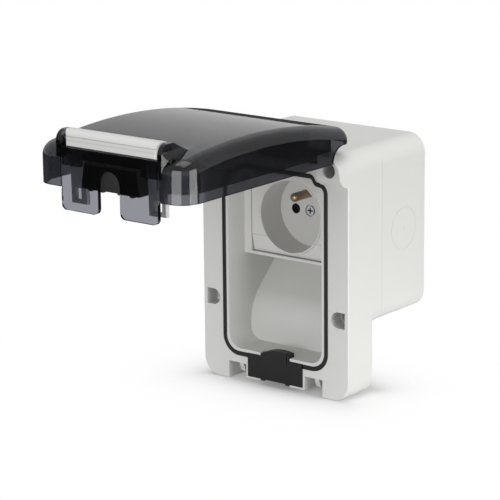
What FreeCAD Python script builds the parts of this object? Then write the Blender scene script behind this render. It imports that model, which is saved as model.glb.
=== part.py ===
import FreeCAD, Part
import math
import os

# Weatherproof wall socket with a hinged, smoked lid and a snap latch at its foot.
# Millimetres, +Z up, X across, the wall is the plane Y = 0 and the front looks along -Y.
# The origin is on the wall face, straight behind the middle of the socket's recess.
# The lid is modelled open, level with the ground, as it stands with a plug being fitted.

Vec = FreeCAD.Vector
SIZES = {
    # housing
    "body_width": 97.0,
    "total_depth": 70.5,
    "top_rise": 41.8,
    "foot_drop": 91.7,
    "box_drop": 54.7,
    "corner_round": 10.2,
    "bezel_depth": 21.5,
    "front_depth": 30.5,
    "housing_wall": 2.6,
    "face_wall": 3.0,
    "edge_round": 0.8,
    "parting_step": 0.15,
    # ears beside the hinge
    "ear_width": 15.0,
    "ear_proud": 8.2,
    "ear_drop": 17.0,
    # well behind the lid
    "well_half_width": 31.0,
    "well_top": 23.8,
    "well_bottom": 73.7,
    "well_round": 7.5,
    "well_wall": 1.5,
    "well_top_inset": 2.0,
    "well_step_height": 11.3,
    "platform_depth": 14.4,
    "scoop_depth": 19.3,
    "scoop_knee_drop": 53.5,
    "scoop_knee_round": 24.0,
    "scoop_slope_deg": 44.0,
    "scoop_end_depth": 43.0,
    # gasket round the well
    "gasket_offset": 2.9,
    "gasket_width": 2.6,
    "gasket_groove_depth": 1.8,
    "gasket_proud": 0.3,
    "gasket_bottom_gap": 2.9,
    "gasket_top_gap": 4.1,
    "gasket_shoulder_half": 27.4,
    "gasket_shoulder_drop": 4.0,
    "gasket_round": 9.5,
    "gasket_jog_round": 2.5,
    # latch notches and cable pocket in the sill
    "foot_rise": 2.2,
    "notch_outer": 31.5,
    "notch_inner": 19.7,
    "notch_ceiling": 9.9,
    "notch_depth": 10.5,
    "hook_middle": 25.4,
    "hook_width": 2.8,
    "hook_set_back": 3.5,
    "hook_low": 3.9,
    "hook_high": 8.9,
    "hook_arm": 1.2,
    "hook_nose": 3.1,
    "pocket_half_width": 18.5,
    "pocket_floor": 1.2,
    "pocket_depth": 12.5,
    "pocket_roof": 1.5,
    "cable_gap_half": 9.8,
    # screws that hold the front housing on the back box
    "screw_inset": 6.9,
    "screw_top": 34.4,
    "screw_bottom": 47.2,
    "screw_hole_radius": 4.1,
    "screw_seat_depth": 15.0,
    "screw_radius": 2.0,
    "screw_end_depth": 44.0,
    "screw_head_radius": 3.7,
    "screw_head_height": 3.0,
    "screw_clearance": 0.25,
    "pocket_d_round": 4.4,
    "pocket_d_flat": 4.4,
    "pocket_d_depth": 9.0,
    "boss_wall": 2.0,
    # back box
    "fixing_across": 60.0,
    "fixing_high": 60.0,
    "fixing_radius": 2.5,
    "knockout_radius": 11.8,
    "knockout_groove": 0.7,
    "knockout_groove_depth": 0.2,
    "seal_width": 1.2,
    "seal_in_box": 1.2,
    "seal_in_front": 0.8,
    "entry_radius": 10.0,
    "entry_flange": 2.0,
    "entry_lip": 1.4,
    # socket module
    "module_half_width": 26.0,
    "module_half_height": 22.0,
    "module_shelf": 1.5,
    "module_gap": 0.35,
    "module_wall": 1.6,
    "module_face": 4.0,
    "module_fold_drop": 12.7,
    "module_fold_back": 2.1,
    "module_seat_depth": 39.0,
    "module_seat_lip": 1.5,
    "recess_radius": 19.8,
    "recess_wall": 1.0,
    "recess_depth": 17.8,
    "recess_floor": 3.6,
    "collar_proud": 0.2,
    "shutter_thickness": 1.2,
    "shutter_half_width": 13.0,
    "shutter_half_height": 4.0,
    "shutter_gap": 0.3,
    "contact_spacing": 19.0,
    "contact_hole_radius": 2.8,
    "sleeve_bore_radius": 2.5,
    "sleeve_radius": 3.3,
    "earth_rise": 10.0,
    "earth_radius": 2.4,
    "earth_length": 16.0,
    "earth_tail_radius": 1.8,
    "earth_clearance": 0.1,
    "strip_thickness": 1.0,
    "strip_width": 6.0,
    "terminal_size": 8.0,
    "terminal_height": 10.0,
    "terminal_drop": 12.0,
    "terminal_wire_radius": 2.0,
    "terminal_screw_radius": 1.6,
    "terminal_head_radius": 2.9,
    "terminal_head_height": 1.6,
    "terminal_back_gap": 3.3,
    "middle_screw_head_radius": 2.8,
    "middle_screw_seat_radius": 3.3,
    "middle_screw_head": 1.9,
    "middle_screw_radius": 1.6,
    "middle_screw_end_gap": 7.8,
    # hinge
    "hinge_set_back": 0.9,
    "hinge_drop": 3.5,
    "barrel_radius": 3.4,
    "barrel_end_gap": 0.5,
    "barrel_clearance": 0.4,
    "hinge_pin_radius": 1.5,
    "hinge_pin_clearance": 0.05,
    "hinge_pin_in_ear": 3.0,
    "hinge_pin_in_barrel": 7.0,
    "hinge_pin_end_gap": 0.3,
    # lid
    "lid_gap": 0.3,
    "lid_reach": 132.4,
    "lid_height": 25.1,
    "lid_arch_radius": 325.0,
    "lid_arch_reach": 74.4,
    "lid_rear_round": 8.0,
    "lid_wall": 2.2,
    "lid_edge_round": 7.5,
    "ear_gap": 0.7,
    "tab_length": 11.4,
    "tab_outer": 30.8,
    "tab_round": 3.0,
    "cable_notch_half": 7.0,
    "cable_notch_crown": 11.3,
    "seal_wall": 1.5,
    "seal_wall_gap": 0.4,
    # latch
    "latch_recess_half": 31.0,
    "latch_recess_depth": 12.5,
    "latch_recess_floor": 16.8,
    "end_block": 4.4,
    "end_block_foot": 10.8,
    "end_block_half_gap": 19.3,
    "cheek_width": 2.6,
    "cheek_top": 28.2,
    "cheek_length": 21.0,
    "cheek_front_round": 5.5,
    "cheek_rear_round": 6.0,
    "cheek_level": 9.0,
    "cheek_sink": 3.0,
    "cheek_fade": 13.0,
    "cheek_foot": 15.0,
    "cheek_hollow": 11.0,
    "cheek_sweep": 20.0,
    "panel_groove": 0.5,
    "bar_half_width": 30.0,
    "bar_end_round": 3.0,
    "bar_top_round": 3.4,
    "bar_front_round": 0.5,
    "bar_back_round": 1.5,
    "bar_front_lean": 0.3,
    "bar_back_lean": 0.5,
    "groove_width": 0.5,
    "groove_depth": 0.35,
    "groove_rise": 0.5,
    "groove_step": 1.9,
    "bar_gap": 0.2,
    "bar_set_back": 1.6,
    "bar_depth": 8.6,
    "bar_low": 20.4,
    "bar_high": 28.6,
    "leg_outer": 29.8,
    "leg_inner": 20.0,
    "leg_tip_drop": 9.2,
    "leg_top_set_back": 6.6,
    "leg_tip_set_back": 7.4,
    "leg_slot_gap": 2.0,
    "leg_thickness": 2.4,
    "leg_swell": 0.8,
    "leg_round": 0.6,
    "window_width": 4.0,
    "window_low": 2.0,
    "window_high": 8.0,
    "latch_pin_set_back": 6.0,
    "latch_pin_height": 23.5,
    "latch_pin_radius": 1.2,
    "latch_pin_clearance": 0.05,
    "latch_pin_grip": 2.5,
    # cable seals
    "seal_fit": 0.3,
    "seal_face_proud": 0.6,
    "seal_arch_half": 9.4,
    "seal_arch_rise": 2.8,
    "seal_arch_end_rise": 2.2,
    "seal_flap_depth": 5.4,
    "seal_slit": 0.5,
    "upper_seal_half": 19.0,
    "upper_seal_rise": 0.4,
    "upper_seal_depth": 14.0,
    "upper_seal_headroom": 1.3,
    "nub_height": 0.8,
    "nub_width": 2.4,
}

doc = FreeCAD.newDocument("weatherproof_socket")
sheet = doc.addObject("Spreadsheet::Sheet", "sizes")
for row, (alias, value) in enumerate(SIZES.items(), start=1):
    sheet.set("A%d" % row, alias)
    sheet.set("B%d" % row, str(value))
    sheet.setAlias("B%d" % row, alias)
doc.recompute()


def size(alias):
    """A driving dimension, read from the sheet."""
    return float(sheet.get(alias))


# Places that several pieces share
HALF = size("body_width") / 2
TOP = size("top_rise")
FOOT = -size("foot_drop")
SILL = FOOT + size("foot_rise")
FRONT = -size("total_depth")
PARTING = FRONT + size("front_depth")
WELL_BOTTOM = -size("well_bottom")
PLATFORM = FRONT + size("platform_depth")
RECESS_FLOOR = PLATFORM + size("recess_depth")
BASE_FACE = RECESS_FLOOR + size("recess_floor")
MODULE_SEAT = FRONT + size("module_seat_depth")
TERMINAL_STACK = size("terminal_size") + size("terminal_head_height") + size("strip_thickness")
BASE_BACK = -size("housing_wall") - size("terminal_back_gap") - TERMINAL_STACK
SHUTTER_BACK = BASE_FACE + size("shutter_thickness") + size("shutter_gap")
EAR_INNER = HALF - size("ear_width")
CONTACT = size("contact_spacing") / 2
HINGE_Y = FRONT + size("hinge_set_back")
HINGE_Z = TOP - size("hinge_drop")
RIM = HINGE_Z + size("hinge_set_back") + size("lid_gap")
LID_END = HINGE_Y - size("lid_reach")
LID_BACK = HINGE_Y + size("barrel_radius")
END_INNER = LID_END + size("lid_wall")
LATCH_FLOOR = RIM + size("latch_recess_floor")
LATCH_PIN_Y = LID_END + size("latch_pin_set_back")
LATCH_PIN_Z = RIM + size("latch_pin_height")
SCREW_PLACES = [(side * (HALF - size("screw_inset")), z)
                for side in (-1, 1) for z in (size("screw_top"), -size("screw_bottom"))]


# Outline and solid helpers

def rounded_edges(corners, place):
    """Edges of a closed outline. Each corner is (u, v, radius); place maps (u, v) to a point."""
    count = len(corners)
    starts = []
    ends = []
    middles = []
    for index in range(count):
        u, v, radius = corners[index]
        before = corners[index - 1]
        after = corners[(index + 1) % count]
        back = Vec(before[0] - u, before[1] - v, 0).normalize()
        ahead = Vec(after[0] - u, after[1] - v, 0).normalize()
        half_angle = back.getAngle(ahead) / 2
        reach = radius / math.tan(half_angle) if radius > 0 else 0
        here = Vec(u, v, 0)
        starts.append(here + back * reach)
        ends.append(here + ahead * reach)
        if radius > 0:
            inward = (back + ahead).normalize()
            middles.append(here + inward * (radius / math.sin(half_angle) - radius))
        else:
            middles.append(None)
    edges = []
    for index in range(count):
        if middles[index] is not None:
            points = [place(p.x, p.y) for p in (starts[index], middles[index], ends[index])]
            edges.append(Part.Arc(*points).toShape())
        following = starts[(index + 1) % count]
        if (following - ends[index]).Length > 1e-6:
            edges.append(Part.makeLine(place(ends[index].x, ends[index].y), place(following.x, following.y)))
    return edges


def outline_xz(corners, y):
    """A flat face in the plane Y = y."""
    return Part.Face(Part.Wire(rounded_edges(corners, lambda u, v: Vec(u, y, v))))


def prism_xz(corners, y_from, y_to):
    """An outline across the front, carried along Y."""
    return outline_xz(corners, y_from).extrude(Vec(0, y_to - y_from, 0))


def prism_yz(corners, x_from, x_to):
    """A side outline, carried along X."""
    face = Part.Face(Part.Wire(rounded_edges(corners, lambda u, v: Vec(x_from, u, v))))
    return face.extrude(Vec(x_to - x_from, 0, 0))


def prism_xy(corners, z_from, z_to):
    """A plan outline, carried along Z."""
    face = Part.Face(Part.Wire(rounded_edges(corners, lambda u, v: Vec(u, v, z_from))))
    return face.extrude(Vec(0, 0, z_to - z_from))


def block(x_from, x_to, y_from, y_to, z_from, z_to):
    return Part.makeBox(x_to - x_from, y_to - y_from, z_to - z_from, Vec(x_from, y_from, z_from))


def rod_y(x, z, radius, y_from, y_to):
    return Part.makeCylinder(radius, y_to - y_from, Vec(x, y_from, z), Vec(0, 1, 0))


def rod_x(y, z, radius, x_from, x_to):
    return Part.makeCylinder(radius, x_to - x_from, Vec(x_from, y, z), Vec(1, 0, 0))


def both_sides(shape):
    """The shape and its mirror image across X = 0."""
    return [shape, shape.mirror(Vec(0, 0, 0), Vec(1, 0, 0))]


def rectangle(half_width, low, high, radius=0.0):
    return [(half_width, low, radius), (half_width, high, radius),
            (-half_width, high, radius), (-half_width, low, radius)]


def mirrored_outline(right_half):
    """Corners of the right side, bottom to top, joined to their mirror images."""
    left_half = [(-u, v, radius) for u, v, radius in reversed(right_half)]
    return right_half + left_half


def housing_outline(bottom, inset=0.0):
    return rectangle(HALF - inset, bottom + inset, TOP - inset, size("corner_round") - inset)


def well_outline(grow=0.0):
    """The opening seen through the front, with its narrower top between the screw bosses."""
    side = size("well_half_width") + grow
    top = size("well_top") + grow
    inset = size("well_top_inset")
    step = size("well_step_height")
    radius = size("well_round") + grow
    return mirrored_outline([
        (side, WELL_BOTTOM - grow, radius),
        (side, step, 0),
        (side - inset, step + inset, 0),
        (side - inset, top, radius)])


def gasket_outline(grow=0.0):
    """The middle line of the gasket, which steps down round the two screw bosses."""
    side = size("well_half_width") + size("gasket_offset") + grow
    bottom = WELL_BOTTOM - size("gasket_bottom_gap") - grow
    top = size("well_top") + size("gasket_top_gap") + grow
    shoulder = top - size("gasket_shoulder_drop")
    jog = size("gasket_jog_round")
    half = size("gasket_shoulder_half")
    return mirrored_outline([
        (side, bottom, size("gasket_round") + grow),
        (side, shoulder, size("gasket_jog_round") * 1.8 + grow),
        (half + 0.4 * grow, shoulder, jog - grow),
        (half + 0.4 * grow - jog, top, jog + grow)])


def gasket_ring(width, y_from, y_to):
    outer = prism_xz(gasket_outline(width / 2), y_from, y_to)
    inner = prism_xz(gasket_outline(-width / 2), y_from, y_to)
    return outer.cut(inner)


def scoop_profile(grow=0.0):
    """Side outline of the hollow: flat shelf under the lid, scoop behind it, platform above."""
    slope = math.radians(size("scoop_slope_deg"))
    deep = FRONT + size("scoop_depth") + grow
    end = FRONT + size("scoop_end_depth") + grow
    knee = -size("scoop_knee_drop") - grow * math.tan(slope / 2)
    roof = module_low() + grow
    return [
        (FRONT - 1, WELL_BOTTOM - grow, 0),
        (deep, WELL_BOTTOM - grow, 0),
        (deep, knee, size("scoop_knee_round") + grow),
        (end, knee + (end - deep) * math.tan(slope), 0),
        (end, roof, 0),
        (PLATFORM + grow, roof, 0),
        (PLATFORM + grow, size("well_top") + 2 * grow + 1, 0),
        (FRONT - 1, size("well_top") + 2 * grow + 1, 0)]


def module_low():
    """Underside of the shelf that carries the socket module."""
    return -size("module_half_height") - size("module_gap") - size("module_shelf")


def add_piece(label, shape):
    """A sub-part as a document object of its own, its shape made above from the sheet."""
    piece = doc.addObject("Part::Feature", label)
    piece.Label = label
    piece.Shape = shape
    piece.Placement = shape.Placement
    return piece


# Front housing

def housing_shell():
    """Bezel and its deeper upper part, hollow from behind."""
    bezel = prism_xz(housing_outline(FOOT), FRONT, FRONT + size("bezel_depth"))
    rim = [edge for edge in bezel.Edges
           if all(abs(vertex.Point.y - FRONT) < 1e-6 for vertex in edge.Vertexes)]
    bezel = bezel.makeFillet(size("edge_round"), rim)
    upper = prism_xz(housing_outline(-size("box_drop")), FRONT + size("edge_round"), PARTING)
    wall = size("housing_wall")
    inner_face = FRONT + size("face_wall")
    bezel_hollow = prism_xz(housing_outline(FOOT, wall), inner_face, FRONT + size("bezel_depth") + 1)
    upper_hollow = prism_xz(housing_outline(-size("box_drop"), wall), inner_face, PARTING + 1)
    step = block(-HALF + wall, HALF - wall, inner_face, PARTING,
                 -size("box_drop"), -size("box_drop") + wall)
    return bezel.fuse(upper).cut(bezel_hollow.fuse(upper_hollow)).fuse(step.common(housing_envelope()))


def housing_envelope():
    """All that the bezel and the box behind it enclose."""
    bezel = prism_xz(housing_outline(FOOT), FRONT, FRONT + size("bezel_depth"))
    return bezel.fuse(prism_xz(housing_outline(-size("box_drop")), FRONT, 0))


def ears():
    """Two rounded noses beside the hinge, under the lid's cut-away corners."""
    proud = FRONT - size("ear_proud")
    low = TOP - size("ear_drop")
    nose = prism_yz([(FRONT + size("face_wall"), low, 0), (proud, low, size("ear_proud") - 0.1),
                     (proud, TOP, size("edge_round")), (FRONT + size("face_wall"), TOP, 0)],
                    EAR_INNER, HALF)
    limit = prism_xz(housing_outline(FOOT), proud - 1, PARTING)
    return both_sides(nose.common(limit))


def screw_columns():
    """Posts behind the face that carry the housing screws."""
    columns = []
    radius = size("screw_hole_radius") + size("boss_wall")
    limit = prism_xz(housing_outline(FOOT), FRONT, PARTING)
    for x, z in SCREW_PLACES:
        columns.append(rod_y(x, z, radius, FRONT + 1, PARTING).common(limit))
    return columns


def sill_block():
    """Solid sill under the well, with the feet's inner walls."""
    wall = size("housing_wall")
    outer = size("notch_outer")
    back = FRONT + size("bezel_depth")
    front = FRONT + size("edge_round")
    sill = block(-outer - wall, outer + wall, front, FRONT + size("notch_depth") + wall,
                 SILL, WELL_BOTTOM - size("well_wall") / 2)
    sill = sill.fuse(block(-outer - wall, outer + wall, front, back, SILL, SILL + wall))
    for piece in both_sides(block(outer, outer + wall, front, back, FOOT, SILL + wall)):
        sill = sill.fuse(piece)
    return sill


def module_sleeve():
    """Rectangular tube behind the platform that holds the socket module."""
    gap = size("module_gap")
    side = size("module_half_width") + gap + size("housing_wall")
    top = size("module_half_height") + gap + size("well_wall")
    return block(-side, side, PLATFORM, MODULE_SEAT + size("well_wall"), module_low(), top)


def sill_cuts():
    """Latch notches, cable pocket and the step between the feet."""
    before = FRONT - size("ear_proud") - 1
    outer = size("notch_outer")
    pocket = size("pocket_half_width")
    deep = FRONT + size("pocket_depth")
    floor = SILL + size("pocket_floor")
    cuts = both_sides(block(size("notch_inner"), outer, before, FRONT + size("notch_depth"),
                            FOOT - 1, FOOT + size("notch_ceiling")))
    cuts.append(block(-outer, outer, before, PARTING, FOOT - 1, SILL))
    gap = size("cable_gap_half")
    flap = FRONT - size("seal_face_proud") + size("seal_flap_depth") + size("seal_fit")
    cuts.append(block(-pocket, pocket, before, deep, floor, WELL_BOTTOM - size("pocket_roof")))
    cuts.append(block(-gap, gap, before, flap, floor, WELL_BOTTOM + 1))
    cuts.append(block(-gap, gap, before, deep, FOOT - 1, floor + 1))
    return cuts


def latch_hooks():
    """Hooks in the notches, whose ramped noses point down behind the latch's window bars."""
    front = FRONT + size("hook_set_back")
    back = FRONT + size("notch_depth") + size("housing_wall") / 2
    low = FOOT + size("hook_low")
    high = FOOT + size("hook_high")
    under = high - size("hook_arm")
    barb = front + size("hook_nose")
    side = size("hook_middle")
    half = size("hook_width") / 2
    hook = prism_yz([(front, high, 0), (back, high, 0), (back, under, 0), (barb, under, 0),
                     (barb, low, 0), (front + size("hook_nose") / 2, low, 0), (front, under, 0)],
                    side - half, side + half)
    return both_sides(hook)


def screw_pockets():
    """Deep round holes in the ears, D-shaped pockets low on the face, and their screw holes."""
    cuts = []
    seat = FRONT + size("screw_seat_depth")
    before = FRONT - size("ear_proud") - 1
    radius = size("pocket_d_round")
    for x, z in SCREW_PLACES:
        cuts.append(rod_y(x, z, size("screw_hole_radius"), before, seat))
        cuts.append(rod_y(x, z, size("screw_radius") + size("screw_clearance"), seat - 1, PARTING + 1))
        if z < 0:
            outward = math.copysign(size("pocket_d_flat"), x)
            low, high = sorted((x, x + outward))
            shallow = FRONT + size("pocket_d_depth")
            cuts.append(rod_y(x, z, radius, before, shallow))
            cuts.append(block(low, high, before, shallow, z - radius, z + radius))
    return cuts


def hinge_cuts():
    """Trough for the lid's barrel between the ears, and the pin holes in the ears."""
    room = size("barrel_radius") + size("barrel_clearance")
    trough = prism_yz([(FRONT - 1, HINGE_Z - room, 0), (HINGE_Y + room, HINGE_Z - room, room * 0.9),
                       (HINGE_Y + room, TOP + 1, 0), (FRONT - 1, TOP + 1, 0)], -EAR_INNER, EAR_INNER)
    holes = both_sides(rod_x(HINGE_Y, HINGE_Z, size("hinge_pin_radius"),
                             EAR_INNER - 1, EAR_INNER + size("hinge_pin_in_ear")))
    return [trough] + holes


def hinge_backing():
    """Thicker wall behind the barrel trough."""
    room = size("barrel_radius") + size("barrel_clearance") + size("housing_wall")
    low = HINGE_Z - room
    outer = EAR_INNER + size("hinge_pin_in_ear") + 1
    backing = block(-outer, outer, FRONT + size("edge_round"), HINGE_Y + room, low, TOP)
    return backing.common(prism_xz(housing_outline(FOOT), FRONT, PARTING))


def front_moulding():
    """The whole front, before its well is parted from it."""
    shell = housing_shell()
    grow = size("well_wall")
    tray_back = FRONT + size("scoop_end_depth") + 2 * grow
    tray = prism_xz(well_outline(grow), FRONT + size("edge_round"), tray_back)
    tray = tray.common(prism_yz(scoop_profile(grow), -HALF, HALF)).common(housing_envelope())
    solid = shell.fuse([tray, module_sleeve(), sill_block(), hinge_backing()] + ears() + screw_columns())
    well = prism_xz(well_outline(), FRONT - 1, FRONT + size("scoop_end_depth") + 1)
    well = well.common(prism_yz(scoop_profile(), -HALF, HALF))
    gap = size("module_gap")
    side = size("module_half_width") + gap
    high = size("module_half_height") + gap
    lip = size("module_seat_lip")
    sleeve_hole = block(-side, side, PLATFORM - 1, MODULE_SEAT, -high, high)
    seat_hole = block(-side + lip, side - lip, MODULE_SEAT - 1, MODULE_SEAT + size("well_wall") + 1,
                      -high + lip, high - lip)
    groove = gasket_ring(size("gasket_width"), FRONT - 1, FRONT + size("gasket_groove_depth"))
    joint = seal_ring(PARTING - size("seal_in_front"), PARTING + 1)
    cuts = [well, sleeve_hole, seat_hole, groove, joint] + sill_cuts() + screw_pockets() + hinge_cuts()
    return solid.cut(cuts).fuse(latch_hooks())


def front_housing_and_well():
    """The frame and the well set into it, which part along the inner wall of the gasket's groove."""
    whole = front_moulding()
    inside = prism_xz(gasket_outline(-size("gasket_width") / 2), FRONT - size("ear_proud") - 1, 0)
    return [add_piece("front_housing", whole.cut(inside).removeSplitter()),
            add_piece("socket_well", whole.common(inside).removeSplitter())]


# Back box and the seal between it and the front

def seal_ring(y_from, y_to):
    """Ring midway through the wall, round the joint between front housing and back box."""
    inset = (size("housing_wall") - size("seal_width")) / 2
    bottom = -size("box_drop")
    outer = prism_xz(housing_outline(bottom, inset), y_from, y_to)
    inner = prism_xz(housing_outline(bottom, inset + size("seal_width")), y_from, y_to)
    return outer.cut(inner)


def box_centre_z():
    return (TOP - size("box_drop")) / 2


def knockout_rings():
    """Shallow rings on both sides that mark where a cable entry can be cut."""
    middle = (PARTING + 0) / 2
    radius = size("knockout_radius")
    deep = size("knockout_groove_depth")
    ring = rod_x(middle, box_centre_z(), radius, HALF - size("parting_step") - deep, HALF + 1)
    ring = ring.cut(rod_x(middle, box_centre_z(), radius - size("knockout_groove"), HALF - 2, HALF + 2))
    mark = rod_x(middle, box_centre_z(), size("knockout_groove"),
                 HALF - size("parting_step") - deep, HALF + 1)
    return both_sides(ring.fuse(mark))


def back_box():
    step = size("parting_step")
    wall = size("housing_wall")
    bottom = -size("box_drop")
    solid = prism_xz(housing_outline(bottom, step), PARTING, 0)
    hollow = prism_xz(housing_outline(bottom, wall), PARTING - 1, -wall)
    solid = solid.cut(hollow)
    limit = prism_xz(housing_outline(bottom, step), PARTING, 0)
    for x, z in SCREW_PLACES:
        post = rod_y(x, z, size("screw_radius") + size("boss_wall") + 1, PARTING, -wall / 2)
        solid = solid.fuse(post.common(limit))
    cuts = [seal_ring(PARTING - 1, PARTING + size("seal_in_box"))]
    cuts += knockout_rings()
    for x, z in SCREW_PLACES:
        cuts.append(rod_y(x, z, size("screw_radius"), PARTING - 1, FRONT + size("screw_end_depth") + 2))
    for x in (-size("fixing_across") / 2, size("fixing_across") / 2):
        for z in (-size("fixing_high") / 2, size("fixing_high") / 2):
            cuts.append(rod_y(x, box_centre_z() + z, size("fixing_radius"), -wall - 1, 1))
    entry = Part.makeCylinder(size("entry_radius"), wall * 4, Vec(0, PARTING / 2, bottom - wall))
    cuts.append(entry)
    return add_piece("back_box", solid.cut(cuts).removeSplitter())


def housing_seal():
    front = PARTING - size("seal_in_front")
    return add_piece("housing_seal", seal_ring(front, PARTING + size("seal_in_box")))


def entry_grommet():
    """Rubber membrane plug in the bottom wall of the back box, flush outside."""
    bottom = -size("box_drop") + size("parting_step")
    inside = -size("box_drop") + size("housing_wall")
    radius = size("entry_radius")
    flange = radius + size("entry_flange")
    lip = size("entry_lip")
    dish = radius * 0.6
    profile = Part.makePolygon([
        Vec(0, 0, bottom + lip / 2), Vec(dish, 0, bottom + lip / 2), Vec(dish + lip / 2, 0, bottom),
        Vec(radius, 0, bottom), Vec(radius, 0, inside), Vec(flange, 0, inside), Vec(flange, 0, inside + lip),
        Vec(dish + lip, 0, inside + lip), Vec(dish, 0, bottom + 1.5 * lip), Vec(0, 0, bottom + 1.5 * lip),
        Vec(0, 0, bottom + lip / 2)])
    shape = Part.Face(profile).revolve(Vec(0, 0, 0), Vec(0, 0, 1), 360)
    shape.translate(Vec(0, PARTING / 2, 0))
    return add_piece("entry_grommet", shape)


# Gasket round the well

def opening_gasket():
    ring = gasket_ring(size("gasket_width"), FRONT - size("gasket_proud"),
                       FRONT + size("gasket_groove_depth"))
    gap = size("pocket_half_width")
    opening = block(-gap, gap, FRONT - 5, FRONT + 5, FOOT, WELL_BOTTOM)
    return add_piece("opening_gasket", ring.cut(opening))


# Cable seals

def lower_cable_seal():
    """Soft block under the sill, with an arched flap that closes the well over the cable."""
    fit = size("seal_fit")
    half = size("pocket_half_width") - fit
    low = SILL + size("pocket_floor")
    flat = WELL_BOTTOM - size("pocket_roof") - fit
    arch = size("seal_arch_half")
    front = FRONT - size("seal_face_proud")
    base = prism_xz(rectangle(half, low, flat), front, FRONT + size("pocket_depth"))
    shoulder = WELL_BOTTOM - fit
    end = shoulder + size("seal_arch_end_rise")
    bow = Part.Arc(Vec(-arch, front, shoulder), Vec(0, front, shoulder + size("seal_arch_rise")),
                   Vec(arch, front, end)).toShape()
    rest = Part.makePolygon([Vec(arch, front, end), Vec(arch, front, flat - 1),
                             Vec(-arch, front, flat - 1), Vec(-arch, front, shoulder)])
    flap = Part.Face(Part.Wire([bow] + rest.Edges)).extrude(Vec(0, size("seal_flap_depth"), 0))
    slit = block(arch - 1.5, arch - 1.5 + size("seal_slit"), front - 1, front + size("seal_flap_depth") / 2,
                 flat - 2, end + 1)
    solid = base.fuse(flap).cut(slit)
    nub = size("nub_width")
    edge = size("cable_gap_half") - fit
    for x in (-edge, edge - nub):
        solid = solid.fuse(block(x, x + nub, front, front + nub, low - size("nub_height"), low + 1))
    return add_piece("cable_seal_lower", solid.removeSplitter())


def upper_cable_seal():
    """Soft block behind the lid's cable notch, with nubs along its meeting face."""
    half = size("upper_seal_half")
    low = RIM + size("upper_seal_rise")
    high = LATCH_FLOOR - size("lid_wall") - size("upper_seal_headroom")
    back = END_INNER + size("upper_seal_depth")
    body = prism_xz([(half, low, 1.0), (half - 2, high, 0), (-half + 2, high, 0), (-half, low, 1.0)],
                    END_INNER, back)
    nub = size("nub_width") / 2
    for x in (-half * 0.7, -half * 0.35, half * 0.25, half * 0.7):
        body = body.fuse(block(x - nub, x + nub, END_INNER, END_INNER + 2 * nub,
                               low - size("nub_height"), low + 1))
    return add_piece("cable_seal_upper", body.removeSplitter())


# Lid

def lid_form(inset, fillet):
    """Lid volume: rounded plan carried up to an arched top, its top edge well rounded."""
    radius = size("corner_round") - inset
    rear = size("lid_rear_round") - inset
    plan = [(HALF - inset, LID_END + inset, radius), (HALF - inset, LID_BACK - inset, rear),
            (-HALF + inset, LID_BACK - inset, rear), (-HALF + inset, LID_END + inset, radius)]
    column = prism_xy(plan, RIM, RIM + size("lid_height") + 10)
    arch = size("lid_arch_radius") - inset
    centre_y = HINGE_Y - size("lid_arch_reach")
    centre_z = RIM + size("lid_height") - size("lid_arch_radius")
    drum = rod_x(centre_y, centre_z, arch, -HALF - 5, HALF + 5)
    form = column.common(drum)
    crown = [edge for edge in form.Edges if edge_on_drum(edge, centre_y, centre_z, arch)]
    return form.makeFillet(fillet, crown)


def edge_on_drum(edge, centre_y, centre_z, radius):
    """True for an edge that lies along the arched top."""
    first, last = edge.ParameterRange
    for step in (0.1, 0.5, 0.9):
        point = edge.valueAt(first + (last - first) * step)
        if abs(math.hypot(point.y - centre_y, point.z - centre_z) - radius) > 1e-3:
            return False
    return True


def lid_cheeks():
    """Raised cheeks that shield the latch bar's ends and fade back and out into the lid."""
    top = RIM + size("cheek_top")
    low = LATCH_FLOOR - size("lid_wall")
    foot = RIM + size("cheek_foot")
    inner = size("latch_recess_half")
    crest = inner + size("cheek_width")
    fade = inner + size("cheek_fade")
    back = LID_END + size("cheek_length")
    level_end = LID_END + size("cheek_level")
    sunk = RIM + size("lid_height") - size("cheek_sink")
    side = prism_yz([(LID_END, low, 0), (LID_END, top, size("cheek_front_round")),
                     (level_end, top, size("cheek_rear_round")), (back, sunk, 0), (back, low, 0)],
                    inner, fade)
    front = prism_xz([(inner, low, 0), (inner, top + 1, 0), (crest, top + 1, 0),
                      (crest, foot, size("cheek_hollow")), (fade + 1, foot, 0), (fade + 1, low, 0)],
                     LID_END - 1, back + 1)
    plan = prism_xy([(inner, LID_END, 0), (crest, LID_END, 0), (fade, LID_END + size("cheek_sweep"), 0),
                     (fade, back + 1, 0), (inner, back + 1, 0)], low, top + 1)
    return both_sides(side.common(front).common(plan))


def panel_grooves():
    """Fine upright grooves that set off the end panel between the cheeks."""
    width = size("panel_groove")
    edge = size("tab_outer")
    return both_sides(block(edge - width / 2, edge + width / 2, LID_END - 1, LID_END + width,
                            RIM - 1, LATCH_FLOOR + 1))


def end_blocks():
    """Thick end of the lid, up to the bar and down in front of the legs beside the cable seal."""
    back = LID_END + size("end_block")
    half = size("latch_recess_half")
    top = RIM + size("bar_low") - size("bar_gap")
    sides = both_sides(block(size("end_block_half_gap"), half, END_INNER - 1, back,
                             RIM + size("end_block_foot"), LATCH_FLOOR))
    return sides + [block(-half - 1, half + 1, LID_END, back, LATCH_FLOOR - size("lid_wall"), top)]


def ear_clearance():
    """Room in the lid's hinge corners for the ears, which they also pass when it shuts."""
    radius = size("ear_proud") + size("ear_gap")
    centre_y = HINGE_Y + (TOP - size("ear_drop") + size("ear_proud") - HINGE_Z)
    centre_z = RIM - size("lid_gap")
    inner = EAR_INNER - size("barrel_end_gap")
    nose = rod_x(centre_y, centre_z, radius, inner, HALF + 1)
    upright = block(inner, HALF + 1, centre_y, LID_BACK + 1, RIM - 1, centre_z + radius)
    return both_sides(nose.fuse(upright))


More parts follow.
